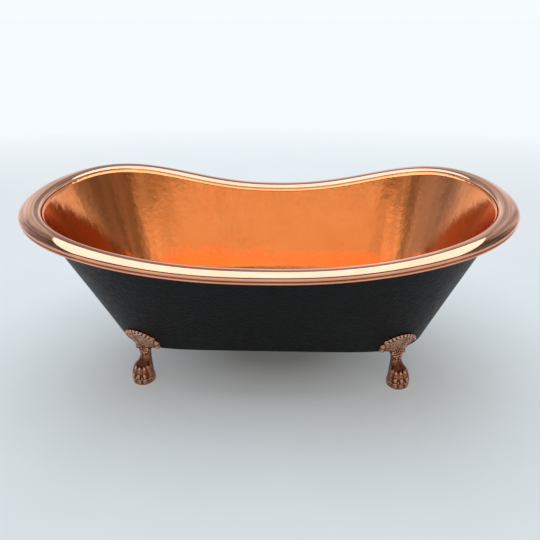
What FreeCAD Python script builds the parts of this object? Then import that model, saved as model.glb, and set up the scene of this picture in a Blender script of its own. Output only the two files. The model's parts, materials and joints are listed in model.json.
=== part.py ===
import FreeCAD, Part

# Double-ended clawfoot bath: a polished copper basin inside a black casing, a rolled copper rim
# that dips in the middle, four cast claw feet bolted to a hidden frame, and a push-open waste.
#
# Units are millimetres. The origin is on the floor under the middle of the bath, +X runs along
# its length, -Y is the side that the photograph shows and +Z is up.

import math
import os

from FreeCAD import Vector

os.makedirs("parts", exist_ok=True)

# ---- driving dimensions ---------------------------------------------------------------------
LENGTH = 1680.0            # over the rim, end to end
WIDTH_AT_MIDDLE = 890.0    # over the rim, halfway along
RIM_HEIGHT_END = 668.0     # floor to the top of the rim at either end
RIM_HEIGHT_MIDDLE = 562.0  # floor to the top of the rim at its lowest
RIM_FULLNESS = 3.8         # 2 is an ellipse, more makes the long sides straighter
SHOULDER_SPREAD = 0.18     # extra width where the rim has risen, as a share of the half width
RISE_POWER = 1.15          # how long the rim stays low before it sweeps up

ROLL_WIDTH = 68.0
ROLL_HEIGHT = 30.0
ROLL_WALL = 2.0
BEAD_DIAMETER = 8.0
BEAD_TURN = 42.0           # degrees below level, round the roll's section, to where the bead sits

SHEET = 1.5
CASING_BOTTOM = 137.0
CASING_HALF_LENGTH = 574.0     # where wall and bottom would meet, before the edge is rounded
CASING_HALF_WIDTH = 208.0
CASING_FULLNESS = 6.0
CASING_EDGE_RADIUS = 10.0
CASING_TOP_IN = 20.0           # from the roll's centre line in to the casing's top edge
CASING_ACCESS_RADIUS = 55.0    # hole under the waste

BASIN_FLOOR = 190.0            # inner face of the basin's floor
BASIN_FLOOR_OUT = 9.0          # basin's floor outline, set out from the casing's base outline
BASIN_COVE_RADIUS = 120.0
BASIN_TOP_IN = 29.0            # from the roll's centre line in to the basin's top edge
BRAZE_GAP = 0.3                # left between a sheet's top edge and the roll
SIDE_SHEET_X = 400.0           # where the side sheets of basin and casing meet the end sheets

FRAME_TUBE = 30.0
FRAME_TUBE_WALL = 2.5
FRAME_HALF_LENGTH = 420.0
FRAME_RAIL_Y = 110.0
FRAME_CROSS_X = (-375.0, -130.0, 130.0, 375.0)
PLATE_THICKNESS = 6.0
PLATE_NEAR = 40.0              # from the foot's centre in to the plate's near edge
PLATE_LENGTH = 62.0
PLATE_WIDTH = 50.0
PAD_SIZE = 36.0
CLEAR = 0.2                    # between hidden pieces that rest on each other

FOOT_X = 463.0
FOOT_Y = 194.0
FOOT_TURN = 20.0               # degrees that a foot faces round from the long side to the end
FOOT_FIT = 0.3                 # between the foot and the casing
FAN_CENTRE_SIDE = -3.0         # from the foot's middle, minus towards the middle of the bath
FAN_CENTRE_HEIGHT = 148.0
FAN_RADIUS = 72.0
FAN_LOBES = 9
FAN_START = 12.0               # degrees round the fan's centre, from level, to the first lobe
FAN_SWEEP = 176.0
FAN_THROW = (-60.0, 90.0)      # how far the fan's outline is carried along the way the foot faces
FAN_SKIN = 8.0
LOBE_BULGE = 6.0
LOBE_BEAD_REACH = 69.0
LOBE_BEAD_RADIUS = 6.5
RIB_SKIN = 11.0
RIB_ENDS = ((20.0, 1.5), (62.0, 4.0))      # distance from the fan's centre and half width
OUTER_WING = ((40.0, 138.0), (23.0, 116.0))        # the fan's hollow sides, sideways and up: a
INNER_WING = ((-42.0, 131.0), (-23.0, 116.0))      # point on the bend, and the ankle
LUG_THICKNESS = 13.0
LUG_HALF_WIDTH = 26.0
LUG_FAR = 98.0                 # how far the lug reaches in under the casing
BOLT_INSETS = (54.0, 82.0)     # from the foot's centre in to each bolt
BOLT_RADIUS = 5.0
BOLT_HOLE_RADIUS = 5.5
BOLT_FLATS = 17.0
BOLT_HEAD = 6.4
NUT_HEIGHT = 8.0
WASHER_RADIUS = 10.0
WASHER_THICKNESS = 2.0

WASTE_FLANGE_RADIUS = 35.0
WASTE_BODY_RADIUS = 21.5
WASTE_TAIL_RADIUS = 20.95      # a one-and-a-quarter-inch pipe thread
WASTE_BORE_RADIUS = 17.5
WASTE_HOLE_RADIUS = 22.5
WASTE_TAIL_TOP = 134.0
WASTE_TAIL_BOTTOM = 96.0
GASKET = 1.5
LOWER_GASKET = 3.0
SLIP_WASHER = 1.0
BACKNUT_FLATS = 60.0
BACKNUT_HEIGHT = 8.0
FLANGE_THICKNESS = 3.0
SPIDER_HEIGHT = 6.0
SPIDER_TOP = 168.0
CARTRIDGE_RADIUS = 7.0
CARTRIDGE_LENGTH = 26.0
STEM_RADIUS = 4.0
STEM_FIT = 0.05
PLUG_RADIUS = 30.0
PLUG_EDGE = 2.5
PLUG_CROWN = 4.0
PLUG_REST_GAP = 0.3
PLUG_SKIRT_RADIUS = 14.0
SEAL_RADIUS = 17.2
SEAL_HEIGHT = 4.0

RING_POINTS = 72
COVE_STEPS = 4
TOE_ANGLES = (-52.0, -18.0, 18.0, 52.0)
KNUCKLES = (                   # distance out, height, and half sizes out, sideways and up
    (29.0, 33.0, (17.0, 10.0, 14.0)),
    (40.0, 15.0, (13.0, 10.5, 14.0)),
)
CLAW_REACH = 52.0
CLAW_HEIGHT = 9.0
CLAW_LENGTH = 10.0


# ---- outlines -------------------------------------------------------------------------------
def fullness(cosine, power):
    """Widening that turns an ellipse into a fuller outline, smooth all the way round."""
    if abs(cosine) > 1.0 - 1e-9:
        return math.sqrt(power / 2.0)
    return math.sqrt((1.0 - abs(cosine) ** power) / (1.0 - cosine ** 2))


def rise(share):
    """How far the rim has swept up: 0 halfway along the bath, 1 at either end."""
    return (1.0 - math.cos(math.pi * min(abs(share), 1.0) ** RISE_POWER)) / 2.0


def roll_line(angle):
    """The rolled rim's centre line."""
    cosine, sine = math.cos(angle), math.sin(angle)
    swept = rise(cosine)
    half_width = (WIDTH_AT_MIDDLE - ROLL_WIDTH) / 2.0 * (1.0 + SHOULDER_SPREAD * swept)
    height = RIM_HEIGHT_MIDDLE + (RIM_HEIGHT_END - RIM_HEIGHT_MIDDLE) * swept
    return Vector(
        (LENGTH - ROLL_WIDTH) / 2.0 * cosine,
        half_width * sine * fullness(cosine, RIM_FULLNESS),
        height - ROLL_HEIGHT / 2.0,
    )


def base_line(angle):
    """Where the casing's wall and bottom would meet if their edge were sharp."""
    cosine, sine = math.cos(angle), math.sin(angle)
    return Vector(
        CASING_HALF_LENGTH * cosine,
        CASING_HALF_WIDTH * sine * fullness(cosine, CASING_FULLNESS),
        CASING_BOTTOM,
    )


def beside(line, angle, out, up=0.0):
    """A point set out from a line, square to it as seen from above, and up."""
    step = 0.001
    along = line(angle + step) - line(angle - step)
    outward = Vector(along.y, -along.x, 0.0)
    outward.normalize()
    return line(angle) + outward * out + Vector(0, 0, up)


def oval_height(out):
    """Half height of the roll's oval section at a distance from its centre line."""
    return ROLL_HEIGHT / 2.0 * math.sqrt(1.0 - (out / (ROLL_WIDTH / 2.0)) ** 2)


def casing_top(angle):
    return beside(roll_line, angle, -CASING_TOP_IN, -oval_height(CASING_TOP_IN) - BRAZE_GAP)


def basin_corner(angle):
    return beside(base_line, angle, BASIN_FLOOR_OUT, BASIN_FLOOR - CASING_BOTTOM)


def basin_top(angle):
    outer_side_in = BASIN_TOP_IN - 1.5 * SHEET
    return beside(roll_line, angle, -BASIN_TOP_IN, -oval_height(outer_side_in) - BRAZE_GAP)


def moved_skin(corner, top, offset):
    """The same wall and floor moved out by an offset, as new corner and top functions."""
    def wall_slope(angle):
        run = top(angle) - corner(angle)
        return run, math.hypot(run.x, run.y) / run.z

    def new_corner(angle):
        run, slope = wall_slope(angle)
        lowered = corner(angle) - run * (offset / run.z)
        shift = beside(corner, angle, offset * math.hypot(1.0, slope)) - corner(angle)
        return lowered + shift

    def new_top(angle):
        _, slope = wall_slope(angle)
        shift = beside(corner, angle, offset * math.hypot(1.0, slope)) - corner(angle)
        return top(angle) + shift

    return new_corner, new_top


def cove_point(corner, top, angle, radius, share):
    """A point on the arc that rounds the floor into the wall: share 0 at the floor, 1 at the wall."""
    wall = top(angle) - corner(angle)
    climb = math.atan2(wall.z, math.hypot(wall.x, wall.y))
    wall.normalize()
    reach = radius * math.tan(climb / 2.0)
    floor_end = beside(corner, angle, -reach)
    wall_end = corner(angle) + wall * reach
    weight = math.cos(climb / 2.0)
    shares = ((1.0 - share) ** 2, 2.0 * weight * share * (1.0 - share), share ** 2)
    total = sum(shares)
    point = floor_end * shares[0] + corner(angle) * shares[1] + wall_end * shares[2]
    return point * (1.0 / total)


# ---- surfaces and solids --------------------------------------------------------------------
def ring(point_at):
    """A closed smooth wire through points taken all the way round."""
    angles = [2.0 * math.pi * index / RING_POINTS for index in range(RING_POINTS)]
    curve = Part.BSplineCurve()
    curve.interpolate(
        Points=[point_at(angle) for angle in angles],
        PeriodicFlag=True,
        Parameters=angles + [2.0 * math.pi],
    )
    return Part.Wire([curve.toShape()])


def skin_rings(corner, top, radius):
    """Wires of a bowl's face, from the edge of its flat floor up to its top edge."""
    rings = [
        ring(lambda angle, share=step / COVE_STEPS: cove_point(corner, top, angle, radius, share))
        for step in range(COVE_STEPS + 1)
    ]
    return rings + [ring(top)]


def wall_faces(rings):
    """The rounded edge and the straight wall through a bowl's wires."""
    return Part.makeLoft(rings[:-1], False, False).Faces + Part.makeLoft(rings[-2:], False, True).Faces


def solid_from(faces):
    """A closed solid from faces that share their edges."""
    shell = Part.Shell(faces)
    shell.sewShape()
    solid = Part.Solid(shell)
    if solid.Volume < 0:
        solid.reverse()
    return solid


def sheet_bowl(corner, top, radius, sheet_side):
    """The sheets that a bowl is welded from: its floor, two sides and two ends.

    The given face is kept; sheet_side is +1 where the sheet lies outside it and -1 inside.
    """
    kept = skin_rings(corner, top, radius)
    other_corner, other_top = moved_skin(corner, top, sheet_side * SHEET)
    other = skin_rings(other_corner, other_top, radius + sheet_side * SHEET)
    seam = Part.makeLoft([kept[0], other[0]], False, True).Faces
    lip = Part.makeLoft([kept[-1], other[-1]], False, True).Faces
    wall = solid_from(wall_faces(kept) + wall_faces(other) + seam + lip)
    sheets = {"floor": solid_from([Part.Face(kept[0]), Part.Face(other[0])] + seam)}
    far, split = LENGTH, SIDE_SHEET_X
    sheets["side_front"] = wall.common(box([-split, -far, 0.0], [split, 0.0, far]))
    sheets["side_back"] = wall.common(box([-split, 0.0, 0.0], [split, far, far]))
    sheets["end_left"] = wall.common(box([-far, -far, 0.0], [-split, far, far]))
    sheets["end_right"] = wall.common(box([split, -far, 0.0], [far, far, far]))
    return sheets


def oval_tube(half_width, half_height, out=0.0, up=0.0):
    """A closed oval tube that follows the rim, as one solid."""
    quarter = 6
    turns = [math.pi * step / quarter for step in range(2 * quarter + 1)]

    def section_ring(turn):
        return ring(lambda angle: beside(
            roll_line, angle, out + half_width * math.cos(turn), up + half_height * math.sin(turn)))

    rings = [section_ring(turn) for turn in turns[:-1]]
    upper = Part.makeLoft(rings[:quarter + 1], False, False)
    lower = Part.makeLoft(rings[quarter:] + rings[:1], False, False)
    return solid_from(upper.Faces + lower.Faces)


def cylinder(radius, bottom, top, x=0.0, y=0.0):
    return Part.makeCylinder(radius, top - bottom, Vector(x, y, bottom))


def tube(outer, inner, bottom, top, x=0.0, y=0.0):
    return cylinder(outer, bottom, top, x, y).cut(cylinder(inner, bottom, top, x, y))


def hexagon(flats, bottom, top, x=0.0, y=0.0, turn=0.0):
    """A hexagonal bar across its flats."""
    radius = flats / math.sqrt(3.0)
    corners = [
        Vector(
            x + radius * math.cos(math.radians(turn + 60.0 * side)),
            y + radius * math.sin(math.radians(turn + 60.0 * side)),
            bottom,
        )
        for side in range(7)
    ]
    return Part.Face(Part.makePolygon(corners)).extrude(Vector(0, 0, top - bottom))


def box(low, high):
    size = [high[axis] - low[axis] for axis in range(3)]
    return Part.makeBox(size[0], size[1], size[2], Vector(low[0], low[1], low[2]))


def save(name, shape):
    if not shape.isValid() or shape.Volume <= 0:
        print("CHECK", name, "valid", shape.isValid(), "volume", round(shape.Volume))
    shape.exportStep("parts/" + name + ".step")
    print(f"{name:28s} solids {len(shape.Solids):2d}  volume {shape.Volume / 1000.0:9.1f} cm3")


# ---- bath body ------------------------------------------------------------------------------
def make_basin():
    """Copper basin: its inner face is the shape that shows, and the sheet lies outside it."""
    sheets = sheet_bowl(basin_corner, basin_top, BASIN_COVE_RADIUS, 1)
    waste_hole = cylinder(WASTE_HOLE_RADIUS, BASIN_FLOOR - 5 * SHEET, BASIN_FLOOR + 5 * SHEET)
    sheets["floor"] = sheets["floor"].cut(waste_hole)
    return sheets


def make_casing():
    """Black casing: its outer face is the shape that shows, and the sheet lies inside it."""
    sheets = sheet_bowl(base_line, casing_top, CASING_EDGE_RADIUS, -1)
    low, high = CASING_BOTTOM - 5 * SHEET, CASING_BOTTOM + 5 * SHEET
    holes = [cylinder(CASING_ACCESS_RADIUS, low, high)]
    holes += [cylinder(BOLT_HOLE_RADIUS, low, high, x, y) for x, y in all_bolt_places()]
    return {name: sheet.cut(holes) for name, sheet in sheets.items()}


def make_roll():
    """Hollow oval roll brazed along the top of the basin and the casing."""
    outer = oval_tube(ROLL_WIDTH / 2.0, ROLL_HEIGHT / 2.0)
    inner = oval_tube(ROLL_WIDTH / 2.0 - ROLL_WALL, ROLL_HEIGHT / 2.0 - ROLL_WALL)
    return outer.cut(inner)


def make_bead():
    """Wired edge: a thin round bead close under the roll's outer edge."""
    radius = BEAD_DIAMETER / 2.0
    half_width, half_height = ROLL_WIDTH / 2.0, ROLL_HEIGHT / 2.0
    cosine, sine = math.cos(math.radians(BEAD_TURN)), math.sin(math.radians(BEAD_TURN))
    away = Vector(cosine / half_width, 0.0, -sine / half_height)
    away.normalize()
    reach = radius + BRAZE_GAP
    out = half_width * cosine + away.x * reach
    up = -half_height * sine + away.z * reach
    return oval_tube(radius, radius, out, up)


# ---- hidden frame ---------------------------------------------------------------------------
PLATE_BOTTOM = CASING_BOTTOM + SHEET + CLEAR
FRAME_BOTTOM = PLATE_BOTTOM + PLATE_THICKNESS
FRAME_TOP = FRAME_BOTTOM + FRAME_TUBE
BASIN_UNDERSIDE = BASIN_FLOOR - SHEET


def square_tube(low, high, axis):
    """A square tube between two corners, hollow along the given axis."""
    inner_low = [value + FRAME_TUBE_WALL for value in low]
    inner_high = [value - FRAME_TUBE_WALL for value in high]
    inner_low[axis], inner_high[axis] = low[axis], high[axis]
    return box(low, high).cut(box(inner_low, inner_high))


def make_rail(side):
    centre = side * FRAME_RAIL_Y
    half = FRAME_TUBE / 2.0
    low = [-FRAME_HALF_LENGTH, centre - half, FRAME_BOTTOM]
    high = [FRAME_HALF_LENGTH, centre + half, FRAME_TOP]
    return square_tube(low, high, 0)


def make_cross_member(x):
    reach = FRAME_RAIL_Y - FRAME_TUBE / 2.0
    half = FRAME_TUBE / 2.0
    return square_tube([x - half, -reach, FRAME_BOTTOM], [x + half, reach, FRAME_TOP], 1)


def make_pads():
    """Rubber pads between the frame's rails and the underside of the basin."""
    half = PAD_SIZE / 2.0
    pads = []
    for x in FRAME_CROSS_X:
        for side in (-1, 1):
            y = side * FRAME_RAIL_Y
            low = [x - half, y - half / 1.5, FRAME_TOP]
            high = [x + half, y + half / 1.5, BASIN_UNDERSIDE - CLEAR]
            pads.append(box(low, high))
    return Part.makeCompound(pads)


# ---- feet -----------------------------------------------------------------------------------
TURN = math.radians(FOOT_TURN)
FOOT_OUT = Vector(math.sin(TURN), -math.cos(TURN), 0.0)
FOOT_SIDE = Vector(math.cos(TURN), math.sin(TURN), 0.0)
FOOT_SIGNS = {
    "front_right": (1, 1),
    "front_left": (-1, 1),
    "back_right": (1, -1),
    "back_left": (-1, -1),
}


def foot_point(out, side, up):
    """A point given outward, sideways and upward from the front right foot's centre."""
    return Vector(FOOT_X, -FOOT_Y, 0.0) + FOOT_OUT * out + FOOT_SIDE * side + Vector(0, 0, up)


def mirrored(shape, signs):
    """The front right foot's shape moved to another corner of the bath."""
    if signs[0] < 0:
        shape = shape.mirror(Vector(0, 0, 0), Vector(1, 0, 0))
    if signs[1] < 0:
        shape = shape.mirror(Vector(0, 0, 0), Vector(0, 1, 0))
    return shape


def all_bolt_places():
    places = []
    for signs in FOOT_SIGNS.values():
        for inset in BOLT_INSETS:
            point = foot_point(-inset, 0.0, 0.0)
            places.append((signs[0] * point.x, signs[1] * point.y))
    return places


def casing_envelope(offset):
    """The lower casing as one full block, moved out by an offset, for fitting the feet."""
    corner, top = moved_skin(base_line, casing_top, offset)
    level = FAN_CENTRE_HEIGHT + 1.6 * FAN_RADIUS

    def level_point(angle):
        low, run = corner(angle), top(angle) - corner(angle)
        return low + run * ((level - low.z) / run.z)

    rings = skin_rings(corner, level_point, CASING_EDGE_RADIUS + offset)
    return solid_from([Part.Face(rings[0]), Part.Face(rings[-1])] + wall_faces(rings))


def on_casing(side, up, offset):
    """The point of the casing's face, moved out by an offset, beside the foot's centre."""
    corner, top = moved_skin(base_line, casing_top, offset)
    low_angle, high_angle = math.radians(-89.0), math.radians(-2.0)
    centre = Vector(FOOT_X, -FOOT_Y, 0.0)
    for _ in range(40):
        angle = (low_angle + high_angle) / 2.0
        low, run = corner(angle), top(angle) - corner(angle)
        point = low + run * ((up - low.z) / run.z)
        if (point - centre).dot(FOOT_SIDE) < side:
            low_angle = angle
        else:
            high_angle = angle
    return point


def prism(points, start, end):
    """A flat outline, given sideways and upward, pushed along the way the foot faces."""
    corners = [foot_point(start, side, up) for side, up in points]
    face = Part.Face(Part.makePolygon(corners + corners[:1]))
    return face.extrude(FOOT_OUT * (end - start))


def lobe_turn(lobe):
    """Angle round the fan's centre at a lobe's start; half numbers give the lobes' middles."""
    return math.radians(FAN_START + FAN_SWEEP * lobe / FAN_LOBES)


def fan_place(radius, turn):
    """A point of the fan's flat plan, a distance out from its centre at an angle from level."""
    side = FAN_CENTRE_SIDE + radius * math.cos(turn)
    return side, FAN_CENTRE_HEIGHT + radius * math.sin(turn)


def fan_outline():
    """Scalloped fan: arcs between lobes round the top, hollow sides down to the ankle."""
    def place(radius, lobe):
        side, up = fan_place(radius, lobe_turn(lobe))
        return foot_point(0, side, up)

    edges = []
    for lobe in range(FAN_LOBES):
        middle = place(FAN_RADIUS + LOBE_BULGE, lobe + 0.5)
        arc = Part.Arc(place(FAN_RADIUS, lobe), middle, place(FAN_RADIUS, lobe + 1))
        edges.append(arc.toShape())
    inner_bend, inner_ankle = [foot_point(0, side, up) for side, up in INNER_WING]
    outer_bend, outer_ankle = [foot_point(0, side, up) for side, up in OUTER_WING]
    edges.append(Part.Arc(place(FAN_RADIUS, FAN_LOBES), inner_bend, inner_ankle).toShape())
    edges.append(Part.makeLine(inner_ankle, outer_ankle))
    edges.append(Part.Arc(outer_ankle, outer_bend, place(FAN_RADIUS, 0)).toShape())
    return Part.Wire(edges)


def fan_rib(turn):
    """A tapered rib from near the fan's centre out to a lobe, as a long bar."""
    (near, near_half), (far, far_half) = RIB_ENDS
    near_spread, far_spread = near_half / near, far_half / far
    corners = [
        fan_place(near, turn - near_spread),
        fan_place(near, turn + near_spread),
        fan_place(far, turn + far_spread),
        fan_place(far, turn - far_spread),
    ]
    return prism(corners, FAN_THROW[0], FAN_THROW[1])


def make_fan(inner_block):
    """The fan that lies on the casing, with raised ribs and a bead in each lobe."""
    outline = fan_outline()
    outline.translate(FOOT_OUT * FAN_THROW[0])
    blank = Part.Face(outline).extrude(FOOT_OUT * (FAN_THROW[1] - FAN_THROW[0]))
    plate = casing_envelope(FAN_SKIN).common(blank).cut(inner_block)
    turns = [lobe_turn(lobe + 0.5) for lobe in range(FAN_LOBES)]
    ribs = Part.makeCompound([fan_rib(turn) for turn in turns])
    raised = casing_envelope(RIB_SKIN).common(ribs).cut(inner_block)
    beads = []
    for turn in turns:
        side, up = fan_place(LOBE_BEAD_REACH, turn)
        beads.append(Part.makeSphere(LOBE_BEAD_RADIUS, on_casing(side, up, FAN_SKIN - 1.0)))
    return [plate, raised] + beads


def make_leg():
    """Paw, ankle and swelling top as one smooth body of oval sections."""
    sections = (
        # height, centre outward, half size outward, half size sideways
        (0.0, 2.0, 35.0, 36.0),
        (12.0, 3.0, 41.0, 42.0),
        (32.0, -2.0, 37.0, 38.0),
        (58.0, -14.0, 26.0, 27.0),
        (90.0, -22.0, 19.5, 20.5),
        (112.0, -20.0, 19.0, 25.0),
        (134.0, -12.0, 19.0, 37.0),
        (158.0, -2.0, 15.0, 42.0),
        (186.0, 8.0, 11.0, 26.0),
    )
    wires = []
    for height, centre, half_out, half_side in sections:
        wires.append(ring(lambda angle, h=height, c=centre, o=half_out, s=half_side: foot_point(
            c + o * math.cos(angle), s * math.sin(angle), h)))
    return Part.makeLoft(wires, True, False)


def ellipsoid(out, side, up, radii, yaw):
    """A rounded knuckle: radii run outward, sideways and upward, turned about the vertical."""
    matrix = FreeCAD.Matrix()
    matrix.scale(Vector(radii[0], radii[1], radii[2]))
    ball = Part.makeSphere(1.0).transformGeometry(matrix)
    ball.rotate(Vector(0, 0, 0), Vector(0, 0, 1), yaw)
    ball.translate(foot_point(out, side, up))
    return ball


def make_toes():
    """Four toes, each with two knuckles and a claw, fanned round the front of the paw."""
    pieces = []
    facing = FOOT_TURN - 90.0
    for angle in TOE_ANGLES:
        turn = math.radians(angle)
        yaw = facing + angle
        for reach, height, radii in KNUCKLES:
            pieces.append(ellipsoid(reach * math.cos(turn), reach * math.sin(turn), height, radii, yaw))
        tip = foot_point(CLAW_REACH * math.cos(turn), CLAW_REACH * math.sin(turn), CLAW_HEIGHT)
        aim = FOOT_OUT * math.cos(turn) + FOOT_SIDE * math.sin(turn) + Vector(0, 0, -0.9)
        pieces.append(Part.makeCone(5.5, 1.5, CLAW_LENGTH, tip - aim * 4.0, aim))
    return pieces


def make_lug():
    """Flat tongue under the casing that takes the two bolts."""
    top = CASING_BOTTOM - CLEAR
    outline = [
        foot_point(-LUG_FAR, -LUG_HALF_WIDTH, top),
        foot_point(-LUG_FAR, LUG_HALF_WIDTH, top),
        foot_point(-2.0, LUG_HALF_WIDTH - 8.0, top),
        foot_point(-2.0, -LUG_HALF_WIDTH + 8.0, top),
    ]
    return Part.Face(Part.makePolygon(outline + outline[:1])).extrude(Vector(0, 0, -LUG_THICKNESS))


def make_foot():
    """The front right foot: one casting that fits the rounded lower edge of the casing."""
    inner_block = casing_envelope(FOOT_FIT)
    foot = make_leg().fuse(make_toes()).cut(inner_block)
    foot = foot.fuse(make_fan(inner_block) + [make_lug()])
    for inset in BOLT_INSETS:
        place = foot_point(-inset, 0.0, 0.0)
        foot = foot.cut(cylinder(BOLT_HOLE_RADIUS, 100.0, CASING_BOTTOM + 5.0, place.x, place.y))
    below_floor = box([0.0, -600.0, -60.0], [900.0, 0.0, 0.0])
    foot = foot.cut(below_floor).cut(inner_block)
    return max(foot.Solids, key=lambda solid: solid.Volume)


def make_foot_plate():
    """Steel plate inside the casing over one foot's lug, welded under the frame's corner."""
    near, far = -PLATE_NEAR, -PLATE_NEAR - PLATE_LENGTH
    half = PLATE_WIDTH / 2.0
    outline = [
        foot_point(near, -half, PLATE_BOTTOM),
        foot_point(near, half, PLATE_BOTTOM),
        foot_point(far, half, PLATE_BOTTOM),
        foot_point(far, -half, PLATE_BOTTOM),
    ]
    face = Part.Face(Part.makePolygon(outline + outline[:1]))
    plate = face.extrude(Vector(0, 0, PLATE_THICKNESS))
    for inset in BOLT_INSETS:
        place = foot_point(-inset, 0.0, 0.0)
        hole = cylinder(BOLT_HOLE_RADIUS, PLATE_BOTTOM, FRAME_BOTTOM, place.x, place.y)
        plate = plate.cut(hole)
    return plate


LUG_BOTTOM = CASING_BOTTOM - CLEAR - LUG_THICKNESS
HEAD_TOP = LUG_BOTTOM - WASHER_THICKNESS


def make_foot_bolts():
    bolts = []
    for x, y in all_bolt_places():
        head = hexagon(BOLT_FLATS, HEAD_TOP - BOLT_HEAD, HEAD_TOP, x, y, FOOT_TURN)
        shank = cylinder(BOLT_RADIUS, HEAD_TOP - 1.0, FRAME_BOTTOM + NUT_HEIGHT + 3.0, x, y)
        bolts.append(head.fuse(shank).removeSplitter())
    return Part.makeCompound(bolts)


def make_foot_washers():
    return Part.makeCompound([
        tube(WASHER_RADIUS, BOLT_HOLE_RADIUS, HEAD_TOP, LUG_BOTTOM, x, y) for x, y in all_bolt_places()
    ])


def make_foot_nuts():
    nuts = []
    for x, y in all_bolt_places():
        nut = hexagon(BOLT_FLATS, FRAME_BOTTOM, FRAME_BOTTOM + NUT_HEIGHT, x, y, FOOT_TURN)
        nuts.append(nut.cut(cylinder(BOLT_RADIUS, FRAME_BOTTOM, FRAME_BOTTOM + NUT_HEIGHT, x, y)))
    return Part.makeCompound(nuts)


# ---- waste ----------------------------------------------------------------------------------
FLANGE_BOTTOM = BASIN_FLOOR + GASKET
FLANGE_TOP = FLANGE_BOTTOM + FLANGE_THICKNESS
GASKET_BOTTOM = BASIN_UNDERSIDE - LOWER_GASKET
SLIP_BOTTOM = GASKET_BOTTOM - SLIP_WASHER
BACKNUT_BOTTOM = SLIP_BOTTOM - BACKNUT_HEIGHT
PLUG_BOTTOM = FLANGE_TOP + PLUG_REST_GAP


def make_waste_body():
    """Flanged tube with a three-armed spider across its bore."""
    body = cylinder(WASTE_FLANGE_RADIUS, FLANGE_BOTTOM, FLANGE_TOP)
    body = body.makeFillet(1.4, [edge for edge in body.Edges if edge.BoundBox.ZMin > FLANGE_TOP - 0.1])
    body = body.fuse([
        cylinder(WASTE_BODY_RADIUS, WASTE_TAIL_TOP, FLANGE_BOTTOM + 1.0),
        cylinder(WASTE_TAIL_RADIUS, WASTE_TAIL_BOTTOM, WASTE_TAIL_TOP),
    ])
    body = body.cut(cylinder(WASTE_BORE_RADIUS, WASTE_TAIL_BOTTOM, FLANGE_TOP))
    hub = cylinder(CARTRIDGE_RADIUS + 2.5, SPIDER_TOP - SPIDER_HEIGHT, SPIDER_TOP)
    arms = []
    for arm in range(3):
        bar = box([0.0, -1.5, SPIDER_TOP - SPIDER_HEIGHT], [WASTE_BORE_RADIUS + 1.0, 1.5, SPIDER_TOP])
        bar.rotate(Vector(0, 0, 0), Vector(0, 0, 1), 120.0 * arm)
        arms.append(bar)
    body = body.fuse([hub] + arms)
    return body.cut(cylinder(CARTRIDGE_RADIUS, SPIDER_TOP - SPIDER_HEIGHT, SPIDER_TOP)).removeSplitter()


def make_cartridge():
    """Push-open cartridge held in the spider; the plug's stem slides in it."""
    bottom = SPIDER_TOP + 1.0 - CARTRIDGE_LENGTH
    collar = cylinder(CARTRIDGE_RADIUS + 1.5, SPIDER_TOP, SPIDER_TOP + 1.0)
    body = cylinder(CARTRIDGE_RADIUS, bottom, SPIDER_TOP).fuse(collar)
    return body.cut(cylinder(STEM_RADIUS + STEM_FIT, bottom + 3.0, SPIDER_TOP + 1.0))


def make_plug_cap():
    """Domed cap with a short skirt that carries the seal."""
    crown_radius = (PLUG_RADIUS ** 2 + PLUG_CROWN ** 2) / (2.0 * PLUG_CROWN)
    rim_top = PLUG_BOTTOM + PLUG_EDGE
    profile = [
        Part.makeLine(Vector(0, 0, PLUG_BOTTOM), Vector(PLUG_RADIUS, 0, PLUG_BOTTOM)),
        Part.makeLine(Vector(PLUG_RADIUS, 0, PLUG_BOTTOM), Vector(PLUG_RADIUS, 0, rim_top)),
    ]
    half_turn = math.asin(PLUG_RADIUS / crown_radius) / 2.0
    middle = Vector(
        crown_radius * math.sin(half_turn), 0,
        rim_top + PLUG_CROWN - crown_radius * (1.0 - math.cos(half_turn)))
    crown_top = Vector(0, 0, rim_top + PLUG_CROWN)
    profile.append(Part.Arc(Vector(PLUG_RADIUS, 0, rim_top), middle, crown_top).toShape())
    profile.append(Part.makeLine(crown_top, Vector(0, 0, PLUG_BOTTOM)))
    dome = Part.Face(Part.Wire(profile)).revolve(Vector(0, 0, 0), Vector(0, 0, 1), 360)
    skirt = cylinder(PLUG_SKIRT_RADIUS, PLUG_BOTTOM - SEAL_HEIGHT - 2.0, PLUG_BOTTOM + 0.5)
    cap = dome.fuse(skirt).removeSplitter()
    socket = cylinder(STEM_RADIUS, PLUG_BOTTOM - SEAL_HEIGHT - 2.0, PLUG_BOTTOM)
    groove = tube(PLUG_SKIRT_RADIUS + 1.0, PLUG_SKIRT_RADIUS - 1.5, PLUG_BOTTOM - SEAL_HEIGHT - 0.5,
                  PLUG_BOTTOM - 0.5)
    return cap.cut(socket).cut(groove)


def make_plug_seal():
    """Rubber ring in the skirt's groove, just clear of the bore."""
    return tube(SEAL_RADIUS, PLUG_SKIRT_RADIUS - 1.5, PLUG_BOTTOM - SEAL_HEIGHT - 0.5, PLUG_BOTTOM - 0.5)


def make_plug_stem():
    return cylinder(STEM_RADIUS, SPIDER_TOP + 5.0 - CARTRIDGE_LENGTH, PLUG_BOTTOM)


# ---- write every piece ----------------------------------------------------------------------
for sheet_name, sheet in make_basin().items():
    save("basin_" + sheet_name, sheet)
for sheet_name, sheet in make_casing().items():
    save("casing_" + sheet_name, sheet)
save("rolled_rim", make_roll())
save("rim_bead", make_bead())

save("frame_rail_front", make_rail(-1))
save("frame_rail_back", make_rail(1))
for number, cross_x in enumerate(FRAME_CROSS_X, start=1):
    save(f"frame_cross_member_{number}", make_cross_member(cross_x))
save("frame_pads", make_pads())

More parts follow.
